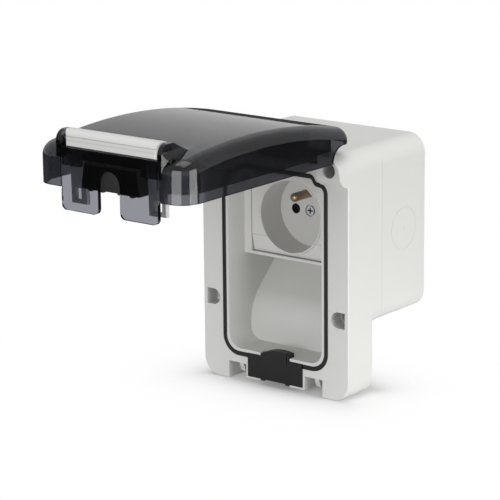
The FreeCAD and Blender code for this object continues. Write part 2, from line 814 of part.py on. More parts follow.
def lid_seal_wall():
    """Inner wall that presses on the gasket when the lid is shut."""
    width = size("seal_wall")
    ring = gasket_ring(width, FRONT, FRONT + size("lid_height"))
    ring.rotate(Vec(0, HINGE_Y, HINGE_Z), Vec(1, 0, 0), -90)
    low = RIM - size("lid_gap") + size("gasket_proud") + size("seal_wall_gap")
    start = ring.BoundBox.ZMin
    ring.translate(Vec(0, 0, low - start))
    return ring


def lid():
    wall = size("lid_wall")
    outer = lid_form(0, size("lid_edge_round"))
    inner = lid_form(wall, size("lid_edge_round") - wall)
    half = size("latch_recess_half")
    recess_back = LID_END + size("latch_recess_depth")
    high = RIM + size("lid_height") + 20
    shelf = block(-half - wall, half + wall, LID_END - 1, recess_back + wall, LATCH_FLOOR - wall, high)
    shell = outer.cut(inner.cut(shelf))
    seal_wall = lid_seal_wall().common(outer)
    barrel_half = EAR_INNER - size("barrel_end_gap")
    barrel = rod_x(HINGE_Y, HINGE_Z, size("barrel_radius"), -barrel_half, barrel_half)
    back_plate = block(-barrel_half, barrel_half, LID_BACK - wall, LID_BACK,
                       HINGE_Z, RIM + size("lid_edge_round"))
    solid = shell.fuse([seal_wall, barrel, back_plate] + lid_cheeks() + end_blocks())
    tab = prism_xz([(size("tab_outer"), RIM - size("tab_length"), size("tab_round")),
                    (size("tab_outer"), RIM + 4, 0), (0, RIM + 4, 0),
                    (0, RIM - size("tab_length"), 0)], LID_END, END_INNER)
    notch = size("cable_notch_half")
    tab = tab.cut(prism_xz(rectangle(notch, RIM - size("tab_length") - 5, RIM + 10),
                           LID_END - 1, END_INNER + 1))
    rounded = [edge for edge in tab.Edges if abs(edge.CenterOfMass.x - notch) < 1e-3
               and abs(edge.CenterOfMass.z - RIM + size("tab_length")) < 1e-3]
    tab = tab.makeFillet(size("tab_round"), rounded)
    solid = solid.fuse(both_sides(tab))
    recess = block(-half, half, LID_END - 1, recess_back, LATCH_FLOOR, high).cut(end_blocks()[-1])
    crown = size("cable_notch_crown")
    cable_notch = block(-notch, notch, LID_END - 1, END_INNER + 1, RIM - 1, RIM + crown - notch)
    cable_notch = cable_notch.fuse(rod_y(0, RIM + crown - notch, notch, LID_END - 1, END_INNER + 1))
    inner_notch = cable_notch.copy()
    inner_notch.translate(Vec(0, size("upper_seal_depth") + 1, 0))
    slot_back = LID_END + leg_front(LATCH_FLOOR) + size("leg_thickness") + size("leg_slot_gap")
    slots = both_sides(block(size("leg_inner") - size("leg_slot_gap") / 2, half, LID_END + size("end_block"),
                             slot_back, LATCH_FLOOR - wall - 1, LATCH_FLOOR + 1))
    pins = [rod_x(LATCH_PIN_Y, LATCH_PIN_Z, size("latch_pin_radius"),
                  -half - size("latch_pin_grip"), half + size("latch_pin_grip"))]
    bore = size("hinge_pin_radius") + size("hinge_pin_clearance")
    bore_end = EAR_INNER - size("hinge_pin_in_barrel") - size("hinge_pin_end_gap")
    bores = both_sides(rod_x(HINGE_Y, HINGE_Z, bore, bore_end, EAR_INNER))
    cuts = [recess, cable_notch, inner_notch] + slots + pins + bores + ear_clearance() + panel_grooves()
    solid = solid.cut(cuts)
    return add_piece("lid", solid.removeSplitter())


# Latch

def leg_front(z):
    """How far behind the lid's end the front of a leg is at a height."""
    tip = RIM - size("leg_tip_drop")
    top = RIM + size("bar_low")
    share = (top - z) / (top - tip)
    start = size("leg_top_set_back")
    return start + (size("leg_tip_set_back") - start) * share


def latch():
    """Ribbed bar across the lid's end with two leaning legs, each with a window for a hook."""
    front = LID_END + size("bar_set_back")
    back = front + size("bar_depth")
    low = RIM + size("bar_low")
    high = RIM + size("bar_high")
    half = size("bar_half_width")
    top_round = size("bar_top_round")
    bar = prism_yz([(front, low, size("bar_front_round")), (front + size("bar_front_lean"), high, top_round),
                    (back, high, top_round), (back + size("bar_back_lean"), low, size("bar_back_round"))],
                   -half, half)
    end_round = size("bar_end_round")
    bar = bar.common(prism_xy([(half, front, end_round), (half, back + 1, 0),
                               (-half, back + 1, 0), (-half, front, end_round)], low - 1, high + 1))
    groove_z = (low + high) / 2 + size("groove_rise")
    groove_back = front + size("groove_depth")
    for z in (groove_z, groove_z - size("groove_step")):
        bar = bar.cut(block(-half, half, front - 1, groove_back, z, z + size("groove_width")))
    tip = RIM - size("leg_tip_drop")
    thick = size("leg_thickness")
    leg_y = [LID_END + leg_front(low + 1), LID_END + size("leg_tip_set_back")]
    tip_round = size("leg_round")
    leg_back = leg_y[0] + thick + size("leg_swell")
    leg = prism_yz([(leg_y[0], low + 1, 0), (leg_y[1], tip, tip_round), (leg_y[1] + thick, tip, tip_round),
                    (leg_back, low + 1, 0)], size("leg_inner"), size("leg_outer"))
    middle = size("hook_middle")
    window_half = size("window_width") / 2
    window = block(middle - window_half, middle + window_half, LID_END - 1, LID_END + 40,
                   tip + size("window_low"), tip + size("window_high"))
    solid = bar.fuse(both_sides(leg.cut(window)))
    bore = rod_x(LATCH_PIN_Y, LATCH_PIN_Z, size("latch_pin_radius") + size("latch_pin_clearance"),
                 -HALF, HALF)
    return add_piece("latch", solid.cut(bore).removeSplitter())


# Pins as bound primitives

def bound_cylinder(label, radius, height, place, direction):
    """A cylinder whose radius and height stay tied to the sheet."""
    rod = doc.addObject("Part::Cylinder", label)
    rod.Label = label
    rod.setExpression("Radius", radius)
    rod.setExpression("Height", height)
    rod.Placement = FreeCAD.Placement(place, FreeCAD.Rotation(Vec(0, 0, 1), direction))
    return rod


def latch_pin():
    reach = size("latch_recess_half") + size("latch_pin_grip")
    return bound_cylinder("latch_pin", "sizes.latch_pin_radius",
                          "2 * (sizes.latch_recess_half + sizes.latch_pin_grip)",
                          Vec(-reach, LATCH_PIN_Y, LATCH_PIN_Z), Vec(1, 0, 0))


def hinge_pins():
    pieces = []
    for label, side in (("hinge_pin_left", -1), ("hinge_pin_right", 1)):
        start = side * (EAR_INNER + size("hinge_pin_in_ear"))
        pieces.append(bound_cylinder(label, "sizes.hinge_pin_radius",
                                     "sizes.hinge_pin_in_ear + sizes.hinge_pin_in_barrel",
                                     Vec(start, HINGE_Y, HINGE_Z), Vec(-side, 0, 0)))
    return pieces


# Socket module

def socket_cover():
    """Front plate of the module: a frame round the recess, folded back along its foot."""
    half = size("module_half_width")
    high = size("module_half_height")
    wall = size("module_wall")
    face = PLATFORM + size("module_face")
    shell = block(-half, half, PLATFORM, BASE_FACE, -high, high)
    shell = shell.cut(block(-half + wall, half - wall, face, BASE_FACE + 1, -high + wall, high - wall))
    fold = -size("module_fold_drop")
    wedge = prism_yz([(PLATFORM - 1, fold, 0), (PLATFORM, fold, 0),
                      (PLATFORM + size("module_fold_back"), -high - 1, 0), (PLATFORM - 1, -high - 1, 0)],
                     -half - 1, half + 1)
    hole = rod_y(0, 0, size("recess_radius") + size("recess_wall"), PLATFORM - 2, BASE_FACE + 1)
    return add_piece("socket_cover", shell.cut([wedge, hole]).removeSplitter())


def recess_cup():
    """Round recess the plug goes into, with its contact holes, pin hole and screw seat."""
    outer = size("recess_radius") + size("recess_wall")
    mouth = PLATFORM - size("collar_proud")
    cup = rod_y(0, 0, outer, mouth, BASE_FACE)
    rim = [edge for edge in cup.Edges if abs(edge.CenterOfMass.y - mouth) < 1e-6]
    cup = cup.makeFillet(size("recess_wall") * 0.45, rim)
    cuts = [rod_y(0, 0, size("recess_radius"), mouth - 1, RECESS_FLOOR)]
    for side in (-1, 1):
        cuts.append(rod_y(side * CONTACT, 0, size("contact_hole_radius"), RECESS_FLOOR - 1, BASE_FACE + 1))
    cuts.append(rod_y(0, size("earth_rise"), size("earth_radius") + size("earth_clearance"),
                      RECESS_FLOOR - 1, BASE_FACE + 1))
    cuts.append(rod_y(0, 0, size("middle_screw_seat_radius"), RECESS_FLOOR - 1,
                      RECESS_FLOOR + size("middle_screw_head")))
    cuts.append(rod_y(0, 0, size("middle_screw_radius") + size("earth_clearance"),
                      RECESS_FLOOR - 1, BASE_FACE + 1))
    return add_piece("recess_cup", cup.cut(cuts).removeSplitter())


def shutter():
    """Dark safety plate behind the contact holes, held in a pocket of the insulator."""
    half = size("shutter_half_width")
    plate = block(-half, half, BASE_FACE, BASE_FACE + size("shutter_thickness"),
                  -size("shutter_half_height"), size("shutter_half_height"))
    hole = rod_y(0, 0, size("middle_screw_radius") + size("shutter_gap"), BASE_FACE - 1, SHUTTER_BACK)
    return add_piece("shutter", plate.cut(hole))


def socket_base():
    """Insulator behind the recess: a wide flange on the sleeve's seat and a narrower body."""
    half = size("module_half_width")
    high = size("module_half_height")
    lip = size("module_seat_lip")
    flange = block(-half, half, BASE_FACE, MODULE_SEAT, -high, high)
    rear = block(-half + lip, half - lip, MODULE_SEAT - 1, BASE_BACK, -high + lip, high - lip)
    solid = flange.fuse(rear)
    gap = size("shutter_gap")
    side_room = size("shutter_half_width") + gap
    upright_room = size("shutter_half_height") + gap
    cuts = [block(-side_room, side_room, BASE_FACE - 1, SHUTTER_BACK, -upright_room, upright_room)]
    for side in (-1, 1):
        cuts.append(rod_y(side * CONTACT, 0, size("sleeve_radius"), BASE_FACE - 1, BASE_BACK + 1))
    cuts.append(rod_y(0, size("earth_rise"), size("earth_radius"), BASE_FACE - 1, MODULE_SEAT))
    cuts.append(rod_y(0, size("earth_rise"), size("earth_tail_radius"), BASE_FACE - 1, BASE_BACK + 1))
    screw_end = BASE_BACK - size("middle_screw_end_gap")
    cuts.append(rod_y(0, 0, size("middle_screw_radius"), BASE_FACE - 1, screw_end))
    return add_piece("socket_base", solid.cut(cuts).removeSplitter())


def bound_tube(label, x, z, outer, inner, length, start):
    """A contact sleeve: one bound cylinder cut by another."""
    place = Vec(x, start, z)
    body = bound_cylinder(label + "_outer", outer, length, place, Vec(0, 1, 0))
    bore = bound_cylinder(label + "_bore", inner, length, place, Vec(0, 1, 0))
    sleeve = doc.addObject("Part::Cut", label)
    sleeve.Label = label
    sleeve.Base = body
    sleeve.Tool = bore
    return sleeve


def contacts():
    pieces = []
    length = ("sizes.total_depth - sizes.housing_wall - sizes.terminal_back_gap - sizes.terminal_size"
              " - sizes.terminal_head_height - sizes.strip_thickness - sizes.platform_depth"
              " - sizes.recess_depth - sizes.recess_floor - sizes.shutter_thickness - sizes.shutter_gap")
    for label, side in (("contact_left", -1), ("contact_right", 1)):
        pieces.append(bound_tube(label, side * CONTACT, 0, "sizes.sleeve_radius",
                                 "sizes.sleeve_bore_radius", length, SHUTTER_BACK))
    return pieces


def revolved_body(label, points, place, direction):
    """A turned piece: a closed half outline (radius, height) spun in a body of its own."""
    body = doc.addObject("PartDesign::Body", label)
    body.Label = label
    plane = [item for item in body.Origin.OriginFeatures if item.Role == "XZ_Plane"][0]
    sketch = body.newObject("Sketcher::SketchObject", label + "_outline")
    sketch.AttachmentSupport = [(plane, "")]
    sketch.MapMode = "FlatFace"
    count = len(points)
    for index in range(count):
        first = points[index]
        second = points[(index + 1) % count]
        sketch.addGeometry(Part.LineSegment(Vec(first[0], first[1], 0), Vec(second[0], second[1], 0)), False)
    turned = body.newObject("PartDesign::Revolution", label + "_turned")
    turned.Profile = sketch
    turned.ReferenceAxis = (sketch, ["V_Axis"])
    turned.Angle = 360.0
    body.Placement = FreeCAD.Placement(place, FreeCAD.Rotation(Vec(0, 0, 1), direction))
    return body


def earth_pin():
    """Turned pin with a domed tip, and a thinner tail riveted through the earth strip."""
    radius = size("earth_radius")
    tail = size("earth_tail_radius")
    floor_to_seat = MODULE_SEAT - RECESS_FLOOR
    length = size("earth_length")
    end = MODULE_SEAT - (RECESS_FLOOR - length)
    tail_end = BASE_BACK + size("strip_thickness") * 2 - (RECESS_FLOOR - length)
    dome = [(radius * math.sin(math.radians(angle)), radius * 0.8 * (1 - math.cos(math.radians(angle))))
            for angle in (20, 40, 60, 75, 90)]
    points = [(0, 0)] + dome + [(radius, end), (tail, end), (tail, tail_end), (0, tail_end)]
    return revolved_body("earth_pin", points, Vec(0, RECESS_FLOOR - length, size("earth_rise")), Vec(0, 1, 0))


def cross_cut(width, length, depth):
    """A cross recess, standing on Z = 0 and going up."""
    half = length / 2
    bar = Part.makeBox(length, width, depth, Vec(-half, -width / 2, 0))
    other = Part.makeBox(width, length, depth, Vec(-width / 2, -half, 0))
    return bar.fuse(other)


def screw_shape(head_radius, head_height, radius, length):
    """Cross-head screw with its head on Z = 0 and its shank going up."""
    head = Part.makeCylinder(head_radius, head_height)
    rim = [edge for edge in head.Edges if abs(edge.CenterOfMass.z) < 1e-6]
    head = head.makeFillet(head_height * 0.35, rim)
    shank = Part.makeCylinder(radius, length, Vec(0, 0, 0))
    solid = head.fuse(shank)
    cross = cross_cut(head_radius * 0.3, head_radius * 1.3, head_height * 0.55)
    return solid.cut(cross)


def toward_wall(shape, x, y, z):
    """Turns a piece that stands on Z so that it points at the wall, and puts it in place."""
    turned = shape.copy()
    turned.Placement = FreeCAD.Placement(Vec(x, y, z), FreeCAD.Rotation(Vec(0, 0, 1), Vec(0, 1, 0)))
    return turned


def middle_screw():
    shape = screw_shape(size("middle_screw_head_radius"), size("middle_screw_head"),
                        size("middle_screw_radius"), BASE_BACK - size("middle_screw_end_gap") - RECESS_FLOOR)
    return add_piece("centre_screw", toward_wall(shape, 0, RECESS_FLOOR, 0))


def housing_screws():
    seat = FRONT + size("screw_seat_depth")
    head = size("screw_head_height")
    length = size("screw_end_depth") - size("screw_seat_depth") + head
    shape = screw_shape(size("screw_head_radius"), head, size("screw_radius"), length)
    group = [toward_wall(shape, x, seat - head, z) for x, z in SCREW_PLACES]
    return add_piece("housing_screws", Part.makeCompound(group))


def earth_strip():
    """Flat strip from the pin's tail down to the earth terminal."""
    half = size("strip_width") / 2
    top = size("earth_rise") + half
    bottom = -size("terminal_drop") - size("terminal_height") / 2
    strip = prism_xz(rectangle(half, bottom, top, 1.0), BASE_BACK, BASE_BACK + size("strip_thickness"))
    hole = rod_y(0, size("earth_rise"), size("earth_tail_radius"), BASE_BACK - 1, BASE_BACK + 5)
    return add_piece("earth_strip", strip.cut(hole))


def terminal(label, x, z, start):
    """Brass block with a wire hole from below and a clamping screw from behind."""
    half = size("terminal_size") / 2
    tall = size("terminal_height") / 2
    body = prism_xz([(half, -tall, 0.8), (half, tall, 0.8), (-half, tall, 0.8), (-half, -tall, 0.8)],
                    0, size("terminal_size"))
    wire = Part.makeCylinder(size("terminal_wire_radius"), 2 * tall + 2, Vec(0, half, -tall - 1))
    thread = rod_y(0, 0, size("terminal_screw_radius"), half, size("terminal_size") + 1)
    body = body.cut([wire, thread])
    body.translate(Vec(x, start, z))
    return add_piece(label, body)


def terminals():
    back = BASE_BACK
    pieces = [terminal("terminal_left", -CONTACT, 0, back), terminal("terminal_right", CONTACT, 0, back),
              terminal("terminal_earth", 0, -size("terminal_drop"), back + size("strip_thickness"))]
    return pieces


def terminal_screws():
    """Three clamping screws, heads toward the wall."""
    depth = size("terminal_size")
    head = size("terminal_head_height")
    shape = screw_shape(size("terminal_head_radius"), head, size("terminal_screw_radius"),
                        head + depth / 2 - 1)
    to_wall = FreeCAD.Rotation(Vec(0, 0, 1), Vec(0, -1, 0))
    places = [(-CONTACT, 0, BASE_BACK + depth), (CONTACT, 0, BASE_BACK + depth),
              (0, -size("terminal_drop"), BASE_BACK + depth + size("strip_thickness"))]
    group = []
    for x, z, face in places:
        turned = shape.copy()
        turned.Placement = FreeCAD.Placement(Vec(x, face + head, z), to_wall)
        group.append(turned)
    return add_piece("terminal_screws", Part.makeCompound(group))


# Build, check and write

pieces = front_housing_and_well()
pieces += [back_box(), housing_seal(), entry_grommet(), opening_gasket(),
          lower_cable_seal(), upper_cable_seal(), lid(), latch(), latch_pin(),
          socket_cover(), recess_cup(), shutter(), socket_base(), earth_pin(), middle_screw(),
          housing_screws(), earth_strip(), terminal_screws()]
pieces += hinge_pins() + contacts() + terminals()
doc.recompute()

for item in doc.Objects:
    if "Invalid" in item.State or "Error" in item.State:
        raise RuntimeError("%s did not build: %s" % (item.Name, item.State))
for piece in pieces:
    if piece.Shape.isNull() or not piece.Shape.isValid():
        raise RuntimeError("%s has no valid shape" % piece.Label)
    print("%-18s %9.1f mm3 %d solid(s)" % (piece.Label, piece.Shape.Volume, len(piece.Shape.Solids)))

os.makedirs("parts", exist_ok=True)
for piece in pieces:
    piece.Shape.exportStep("parts/%s.step" % piece.Label)
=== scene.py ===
import math

import bmesh
import bpy
from mathutils import Matrix, Vector


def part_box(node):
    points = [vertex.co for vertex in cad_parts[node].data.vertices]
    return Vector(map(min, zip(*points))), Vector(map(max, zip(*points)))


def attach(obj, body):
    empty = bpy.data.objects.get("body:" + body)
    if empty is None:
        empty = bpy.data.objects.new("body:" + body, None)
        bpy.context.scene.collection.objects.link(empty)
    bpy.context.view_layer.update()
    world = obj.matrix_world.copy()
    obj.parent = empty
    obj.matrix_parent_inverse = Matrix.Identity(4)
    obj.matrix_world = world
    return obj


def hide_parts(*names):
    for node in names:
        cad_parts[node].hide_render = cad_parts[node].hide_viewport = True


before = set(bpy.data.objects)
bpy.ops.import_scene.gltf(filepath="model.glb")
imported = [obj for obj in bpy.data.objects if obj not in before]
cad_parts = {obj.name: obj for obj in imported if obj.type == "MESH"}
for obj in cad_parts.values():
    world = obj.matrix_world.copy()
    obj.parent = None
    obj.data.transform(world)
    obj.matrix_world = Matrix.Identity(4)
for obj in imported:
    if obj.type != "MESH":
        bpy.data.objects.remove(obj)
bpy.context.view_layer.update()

MM = 0.001

# Places on the object, read from the frame

FRONT_LOW, FRONT_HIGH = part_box("front_housing")
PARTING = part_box("back_box")[0].y
LID_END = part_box("lid")[0].y
MODULE_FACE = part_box("socket_cover")[0].y
MODULE_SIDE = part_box("socket_cover")[1].x
RECESS_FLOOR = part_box("centre_screw")[0].y
CONTACT_LOW, CONTACT_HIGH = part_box("contact_right")
CONTACT_ASIDE = (CONTACT_LOW.x + CONTACT_HIGH.x) / 2

# Places that no node's box gives

LID_RIM = 39.5 * MM
MODULE_FOLD = -12.7 * MM
CASE_SCREWS_ASIDE = 41.6 * MM
CASE_SCREW_HEIGHTS = (34.4 * MM, -47.2 * MM)
EARTH_TERMINAL_DROP = 12.0 * MM

WHITE = (1.0, 1.0, 1.0, 1.0)

# Node trees


class Wire:
    """A node's value that can be added, multiplied and compared like a number."""

    def __init__(self, tree, socket):
        self.tree = tree
        self.socket = socket

    def output(self, name):
        """Another output of the same node."""
        return Wire(self.tree, self.socket.node.outputs[name])

    def math(self, operation, first, second=0.0):
        return self.tree.node("ShaderNodeMath", {"operation": operation}, {0: first, 1: second})

    def __add__(self, other):
        return self.math("ADD", self, other)

    __radd__ = __add__

    def __sub__(self, other):
        return self.math("SUBTRACT", self, other)

    def __rsub__(self, other):
        return self.math("SUBTRACT", other, self)

    def __mul__(self, other):
        return self.math("MULTIPLY", self, other)

    __rmul__ = __mul__

    def __truediv__(self, other):
        return self.math("DIVIDE", self, other)

    def __rpow__(self, base):
        return self.math("POWER", base, self)

    def __gt__(self, other):
        return self.math("GREATER_THAN", self, other)

    def __lt__(self, other):
        return self.math("LESS_THAN", self, other)

    def __abs__(self):
        return self.math("ABSOLUTE", self)

    def root(self):
        return self.math("SQRT", self)

    def larger(self, other):
        """The larger of two values, so also a mask where either of two masks is 1."""
        return self.math("MAXIMUM", self, other)


class Tree:
    """A node tree whose nodes come from one method."""

    def __init__(self, tree):
        self.tree = tree

    def node(self, kind, settings=None, inputs=None, output=0):
        """A node of a type: its settings first, then the values or links of its sockets."""
        made = self.tree.nodes.new(kind)
        for name, value in (settings or {}).items():
            setattr(made, name, value)
        for name, value in (inputs or {}).items():
            self.feed(made.inputs[name], value)
        return self.wire(made, output)

    def given(self, name, **values):
        """A node that the tree starts with, fed by its sockets' names, with _ for a blank."""
        node = self.tree.nodes[name]
        for socket_name, value in values.items():
            self.feed(node.inputs[socket_name.replace("_", " ")], value)
        return self.wire(node)

    def wire(self, node, output=0):
        """A node's value, where it gives one."""
        return Wire(self, node.outputs[output]) if node.outputs else None

    def feed(self, socket, value):
        """A link or a value for a socket, or several links from a list."""
        for part in value if isinstance(value, list) else [value]:
            if isinstance(part, Wire):
                self.tree.links.new(part.socket, socket)
            else:
                socket.default_value = part

    def seen_by(self, **shares):
        """The share of a backdrop that each named kind of ray sees."""
        path = self.node("ShaderNodeLightPath")
        seen = [path.output("Is %s Ray" % ray) * share for ray, share in shares.items()]
        widest = seen[0]
        for other in seen[1:]:
            widest = widest.larger(other)
        return widest


class Shader(Tree):
    """One material's node tree, with a Principled shader to feed."""

    def __init__(self, name):
        self.material = bpy.data.materials.new(name)
        self.material.use_nodes = True
        super().__init__(self.material.node_tree)

    def set(self, **values):
        """The material, with its Principled sockets fed by name."""
        self.given("Principled BSDF", **values)
        return self.material

    def place(self):
        """The place on the piece, in metres."""
        return self.node("ShaderNodeTexCoord").output("Object")

    def across(self):
        """The place on the piece as three numbers: across, deep and high."""
        split = self.node("ShaderNodeSeparateXYZ", None, {0: self.place()})
        return [split.output(axis) for axis in ("X", "Y", "Z")]

    def ramp(self, value, start, end, first, last):
        """A smooth change from one value to another between two places."""
        return self.node("ShaderNodeMapRange", {"interpolation_type": "SMOOTHSTEP"}, {
            "Value": value, "From Min": start, "From Max": end, "To Min": first, "To Max": last})

    def noise(self, scale, detail):
        return self.node("ShaderNodeTexNoise", None, {
            "Vector": self.place(), "Scale": scale, "Detail": detail})

    def between(self, share, first, second):
        """A colour mixed from two by a share."""
        return self.node("ShaderNodeMix", {"data_type": "RGBA"}, {0: share, 6: first, 7: second}, 2)

    def bump(self, height, distance, strength):
        return self.node("ShaderNodeBump", None, {
            "Height": height, "Distance": distance, "Strength": strength})


def grey(value, tint=(1.0, 1.0, 1.0)):
    return tuple(value * part for part in tint) + (1.0,)


# Painted shade in joints, grooves and holes


def near(value, middle, half):
    """1 within a band, else 0."""
    return abs(value - middle) < half


def parting_painted_shade(shader):
    """Painted shade in the joint between the front housing and the back box, on their outer faces.
    """
    side_skin = 0.7 * MM
    top_skin = 0.8 * MM
    joint_half = 0.13 * MM
    strength = 0.5
    across, deep, high = shader.across()
    beside = abs(across) > FRONT_HIGH.x - side_skin
    above = high > FRONT_HIGH.z - top_skin
    return near(deep, PARTING, joint_half) * beside.larger(above) * strength


def module_painted_shade(shader):
    """Painted shade in the contact holes, in the gap round the module and along its fold."""
    hole_radius = 2.83 * MM
    hole_start = RECESS_FLOOR + 0.05 * MM
    gap_inner = MODULE_SIDE - 0.07 * MM
    gap_start = MODULE_FACE + 0.2 * MM
    fold_half = 0.12 * MM
    fold_end = MODULE_FACE + 1.1 * MM
    fold_strength = 0.4
    across, deep, high = shader.across()
    aside = abs(across) - CONTACT_ASIDE
    in_hole = aside * aside + high * high < hole_radius ** 2
    holes = in_hole * (deep > hole_start)
    gap = (abs(across) > gap_inner) * (deep > gap_start)
    fold = near(high, MODULE_FOLD, fold_half) * (deep < fold_end) * fold_strength
    return holes.larger(gap).larger(fold)


def latch_painted_shade(shader):
    """Painted shade in the two fine grooves along the latch's bar, the lower one fainter."""
    upper_groove, upper_half = 64.75 * MM, 0.25 * MM
    lower_groove, lower_half = 62.85 * MM, 0.2 * MM
    lower_share = 0.4
    face_depth = 2.2 * MM
    strength = 0.3
    across, deep, high = shader.across()
    upper = near(high, upper_groove, upper_half)
    lower = near(high, lower_groove, lower_half) * lower_share
    on_face = deep < LID_END + face_depth
    return (upper + lower) * on_face * strength


def cross_painted_shade(shader):
    """Painted shade in the cross recess of the middle screw."""
    cross_reach = 2.2 * MM
    cross_start = RECESS_FLOOR + 0.2 * MM
    across, deep, high = shader.across()
    in_cross = across * across + high * high < cross_reach ** 2
    return in_cross * (deep > cross_start)


# Finishes


def moulded_plastic(name, light, dark, roughness, grain=0.03 * MM, shaded=None):
    """Satin plastic out of a spark-eroded mould: fine grain, faint unevenness and a little dust,
    with painted shade where a shaded mask is given.
    """
    shader = Shader(name)
    cloud = shader.noise(scale=18.0, detail=3.0)
    grain_height = shader.noise(scale=3200.0, detail=1.0)
    wave_height = shader.noise(scale=60.0, detail=1.0) * 3.0
    colour = shader.between(cloud, light, dark)
    # Painted shade: where the shaded mask is 1 the colour goes to near-black.
    if shaded:
        colour = shader.between(shaded(shader), colour, grey(0.03))
    return shader.set(
        Base_Color=colour,
        Roughness=roughness + (cloud - 0.5) * 0.12,
        IOR=1.49,
        Normal=shader.bump(grain_height + wave_height, grain, strength=0.6))


def smoked_plastic(name):
    """Smoke-tinted clear plastic: polished skin, and darker the longer light runs through it.

    The end tabs and the end panel are the clearest, then the crown, then the skirt.
    """
    tab_top = LID_RIM - 0.05 * MM
    end_half = 31.2 * MM
    end_top = 57.0 * MM
    end_inner = LID_END + 2.4 * MM
    crown_start = 52.0 * MM
    crown_full = 59.0 * MM
    crown_tint = (0.5, 0.5, 0.52, 1.0)
    tab_tint = (0.97, 0.97, 0.99, 1.0)
    shader = Shader(name)
    haze = shader.noise(scale=45.0, detail=2.0)
    across, deep, high = shader.across()
    in_tabs = high < tab_top
    in_end = (deep < end_inner) * (abs(across) < end_half) * (high < end_top)
    crown = shader.ramp(high, crown_start, crown_full, 0.0, 1.0)
    skirt_tint = shader.between(haze, (0.44, 0.44, 0.46, 1.0), (0.40, 0.40, 0.42, 1.0))
    walls = shader.between(crown, skirt_tint, crown_tint)
    smoke = shader.node("ShaderNodeVolumeAbsorption", None, {
        "Color": (0.30, 0.31, 0.36, 1.0), "Density": 680.0})
    shader.given("Material Output", Volume=smoke)
    return shader.set(
        Base_Color=shader.between(in_tabs.larger(in_end), walls, tab_tint),
        Roughness=0.03 + haze * 0.05,
        Transmission_Weight=1.0,
        IOR=1.45)


def soft_rubber(name):
    """Soft black rubber with a dry bloom on it."""
    shader = Shader(name)
    bloom = shader.noise(scale=90.0, detail=4.0)
    grain_height = shader.noise(scale=5200.0, detail=1.0)
    return shader.set(
        Base_Color=shader.between(bloom, grey(0.004), grey(0.009)),
        Roughness=0.4 + bloom * 0.2,
        Specular_IOR_Level=0.3,
        IOR=1.52,
        Normal=shader.bump(grain_height, 0.02 * MM, strength=0.35))


def bare_metal(name, colour, roughness, mark_scale, shaded=None):
    """Plated or bare metal with fine turning marks and faint stains, and painted shade where a
    shaded mask is given.
    """
    shader = Shader(name)
    marks = shader.noise(mark_scale, detail=2.0)
    stain = shader.noise(scale=120.0, detail=3.0)
    finish = shader.between(stain, colour + (1.0,), grey(0.8, colour))
    # Painted shade: where the shaded mask is 1 the colour goes to near-black.
    if shaded:
        finish = shader.between(shaded(shader), finish, grey(0.04))
    return shader.set(
        Base_Color=finish,
        Metallic=1.0,
        Roughness=roughness + (marks - 0.5) * 0.16,
        Normal=shader.bump(marks, 0.02 * MM, strength=0.5))


# The housing has painted shade in its parting joint.
HOUSING = moulded_plastic(
    "housing_plastic", grey(0.66, (1.0, 1.0, 0.975)), grey(0.62, (1.0, 0.995, 0.965)),
    roughness=0.42, shaded=parting_painted_shade)
# The module has painted shade in its contact holes, its gap and along its fold.
MODULE = moulded_plastic(
    "module_plastic", grey(0.66, (1.0, 0.995, 0.97)), grey(0.63, (1.0, 0.995, 0.965)),
    roughness=0.3, grain=0.01 * MM, shaded=module_painted_shade)
# The latch has painted shade in the grooves along its bar.
LATCH = moulded_plastic(
    "latch_plastic", grey(0.66, (1.0, 0.995, 0.98)), grey(0.63, (1.0, 0.995, 0.97)),
    roughness=0.38, shaded=latch_painted_shade)
INSULATOR = moulded_plastic(
    "insulator_plastic", grey(0.5, (1.0, 0.98, 0.94)), grey(0.46, (1.0, 0.98, 0.93)),
    roughness=0.5)
SMOKED = smoked_plastic("smoked_plastic")
RUBBER = soft_rubber("black_rubber")
BRASS = bare_metal("plated_brass", (0.36, 0.27, 0.18), 0.36, mark_scale=900.0)
STEEL = bare_metal("zinc_steel", (0.56, 0.57, 0.6), 0.34, mark_scale=1100.0)
# The middle screw has painted shade in its cross recess.
BRIGHT_STEEL = bare_metal("bright_zinc", (0.86, 0.9, 0.94), 0.42, mark_scale=1100.0,
                          shaded=cross_painted_shade)

# Mesh helpers


def merged_copy(node, flat_within):
    """A joined-up copy of a CAD node's loose triangles, with its flat faces whole again."""
    merge_distance = 0.004 * MM
    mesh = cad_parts[node].data.copy()
    bm = bmesh.new()
    bm.from_mesh(mesh)
    bmesh.ops.remove_doubles(bm, verts=bm.verts, dist=merge_distance)
    bmesh.ops.dissolve_limit(bm, angle_limit=math.radians(flat_within), verts=bm.verts,
                             edges=bm.edges, delimit={"NORMAL"})
    bm.to_mesh(mesh)
    bm.free()
    return mesh


def evaluated_mesh(piece):
    """A piece's mesh with its modifiers worked in. The piece loses them."""
    bpy.context.view_layer.update()
    depsgraph = bpy.context.evaluated_depsgraph_get()
    mesh = bpy.data.meshes.new_from_object(piece.evaluated_get(depsgraph))
    piece.modifiers.clear()
    return mesh


def soften(piece, width, segments):
    """Small rounds along the sharp edges."""
    rounds = piece.modifiers.new("softened_edges", "BEVEL")
    rounds.width = width
    rounds.segments = segments
    rounds.limit_method = "ANGLE"
    rounds.angle_limit = math.radians(28.0)
    rounds.use_clamp_overlap = True
    rounds.miter_outer = "MITER_ARC"
    piece.data = evaluated_mesh(piece)


def shade(piece):
    """Smooth rounds between crisp edges, and flat faces that stay flat."""
    piece.data.shade_smooth()
    piece.data.set_sharp_from_angle(angle=math.radians(32.0))
    flat_faces = piece.modifiers.new("flat_faces", "WEIGHTED_NORMAL")
    flat_faces.keep_sharp = True
    piece.data = evaluated_mesh(piece)


